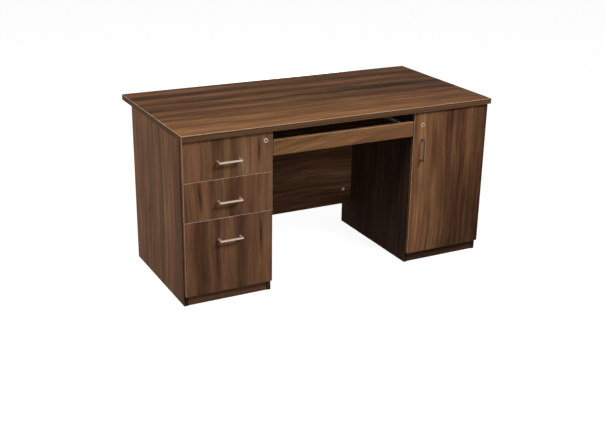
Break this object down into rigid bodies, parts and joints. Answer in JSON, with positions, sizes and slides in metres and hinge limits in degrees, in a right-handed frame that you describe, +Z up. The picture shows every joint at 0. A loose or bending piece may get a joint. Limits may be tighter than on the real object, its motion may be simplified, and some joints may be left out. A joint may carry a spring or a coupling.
{
  "type": "office desk",
  "caption": "Double-pedestal office desk in walnut laminate with lockable drawers, a hinged cupboard, a sliding keyboard tray and a modesty panel.",
  "frame": {"origin": "on the floor, under the middle of the desktop", "axes": "+X along the desktop to the cupboard's end, -Y towards the sitter, +Z up"},
  "size_m": [1.5, 0.767, 0.75],
  "materials": {
    "walnut_laminate": "satin walnut laminate with straight dark and light streaks",
    "edge_band": "satin walnut edge strip",
    "drawer_board": "matt off-white melamine board",
    "zinc_steel": "bright zinc-plated roll-formed steel",
    "fitting_steel": "nickel-plated pressed steel",
    "satin_nickel": "satin nickel",
    "bright_nickel": "bright nickel",
    "beech": "plain beech"
  },
  "bodies": {
    "desk": {"desktop": "walnut_laminate", "desktop_edge_band": "edge_band", "left_outer_side": "walnut_laminate", "left_inner_side": "walnut_laminate", "left_back_panel": "walnut_laminate", "left_bottom_panel": "walnut_laminate", "left_top_panel": "walnut_laminate", "left_plinth": "walnut_laminate", "right_outer_side": "walnut_laminate", "right_inner_side": "walnut_laminate", "right_back_panel": "walnut_laminate", "right_bottom_panel": "walnut_laminate", "right_top_panel": "walnut_laminate", "right_plinth": "walnut_laminate", "shelf": "walnut_laminate", "shelf_pins": "fitting_steel", "modesty_panel": "walnut_laminate", "cam_fittings": "fitting_steel", "carcass_dowels": "beech", "desktop_screws": "fitting_steel", "hinge_arms": "fitting_steel", "top_drawer_slide_outer": "zinc_steel", "middle_drawer_slide_outer": "zinc_steel", "file_drawer_slide_outer": "zinc_steel", "keyboard_tray_slide_outer": "zinc_steel"},
    "top_drawer": {"top_drawer_front": "walnut_laminate", "top_drawer_left_side": "drawer_board", "top_drawer_right_side": "drawer_board", "top_drawer_back": "drawer_board", "top_drawer_bottom": "drawer_board", "top_drawer_handle": "satin_nickel", "top_drawer_slide_inner": "zinc_steel", "drawer_lock_barrel": "bright_nickel"},
    "top_drawer_rails": {"top_drawer_slide_middle": "zinc_steel"},
    "middle_drawer": {"middle_drawer_front": "walnut_laminate", "middle_drawer_left_side": "drawer_board", "middle_drawer_right_side": "drawer_board", "middle_drawer_back": "drawer_board", "middle_drawer_bottom": "drawer_board", "middle_drawer_handle": "satin_nickel", "middle_drawer_slide_inner": "zinc_steel"},
    "middle_drawer_rails": {"middle_drawer_slide_middle": "zinc_steel"},
    "file_drawer": {"file_drawer_front": "walnut_laminate", "file_drawer_left_side": "drawer_board", "file_drawer_right_side": "drawer_board", "file_drawer_back": "drawer_board", "file_drawer_bottom": "drawer_board", "file_drawer_handle": "satin_nickel", "file_drawer_slide_inner": "zinc_steel"},
    "file_drawer_rails": {"file_drawer_slide_middle": "zinc_steel"},
    "keyboard_tray": {"keyboard_tray_front": "walnut_laminate", "keyboard_tray_board": "walnut_laminate", "keyboard_tray_slide_inner": "zinc_steel"},
    "keyboard_tray_rails": {"keyboard_tray_slide_middle": "zinc_steel"},
    "door": {"door_panel": "walnut_laminate", "door_handle": "satin_nickel", "hinge_cups": "fitting_steel", "door_lock_barrel": "bright_nickel"},
    "drawer_lock": {"drawer_lock_plug": "bright_nickel"},
    "door_lock": {"door_lock_plug": "bright_nickel"}
  },
  "joints": [
    {"name": "top_drawer_slide", "type": "slide", "parent": "desk", "child": "top_drawer", "axis": [0, -1, 0], "range_m": [0, 0.44]},
    {"name": "top_drawer_rails_slide", "type": "slide", "parent": "desk", "child": "top_drawer_rails", "axis": [0, -1, 0], "range_m": [0, 0.22]},
    {"name": "middle_drawer_slide", "type": "slide", "parent": "desk", "child": "middle_drawer", "axis": [0, -1, 0], "range_m": [0, 0.44]},
    {"name": "middle_drawer_rails_slide", "type": "slide", "parent": "desk", "child": "middle_drawer_rails", "axis": [0, -1, 0], "range_m": [0, 0.22]},
    {"name": "file_drawer_slide", "type": "slide", "parent": "desk", "child": "file_drawer", "axis": [0, -1, 0], "range_m": [0, 0.44]},
    {"name": "file_drawer_rails_slide", "type": "slide", "parent": "desk", "child": "file_drawer_rails", "axis": [0, -1, 0], "range_m": [0, 0.22]},
    {"name": "keyboard_tray_slide", "type": "slide", "parent": "desk", "child": "keyboard_tray", "axis": [0, -1, 0], "range_m": [0, 0.3]},
    {"name": "keyboard_tray_rails_slide", "type": "slide", "parent": "desk", "child": "keyboard_tray_rails", "axis": [0, -1, 0], "range_m": [0, 0.15]},
    {"name": "door_swing", "type": "hinge", "parent": "desk", "child": "door", "pos_m": [0.736, -0.352, 0.386], "axis": [0, 0, 1], "range_deg": [0, 100]},
    {"name": "drawer_lock_turn", "type": "hinge", "parent": "top_drawer", "child": "drawer_lock", "pos_m": [-0.378, -0.36, 0.686], "axis": [0, 1, 0], "range_deg": [0, 90]},
    {"name": "door_lock_turn", "type": "hinge", "parent": "door", "child": "door_lock", "pos_m": [0.391, -0.36, 0.663], "axis": [0, 1, 0], "range_deg": [0, 90]}
  ],
  "couplings": [
    {"joint": "top_drawer_rails_slide", "follows": "top_drawer_slide", "ratio": 0.5},
    {"joint": "middle_drawer_rails_slide", "follows": "middle_drawer_slide", "ratio": 0.5},
    {"joint": "file_drawer_rails_slide", "follows": "file_drawer_slide", "ratio": 0.5},
    {"joint": "keyboard_tray_rails_slide", "follows": "keyboard_tray_slide", "ratio": 0.5}
  ]
}
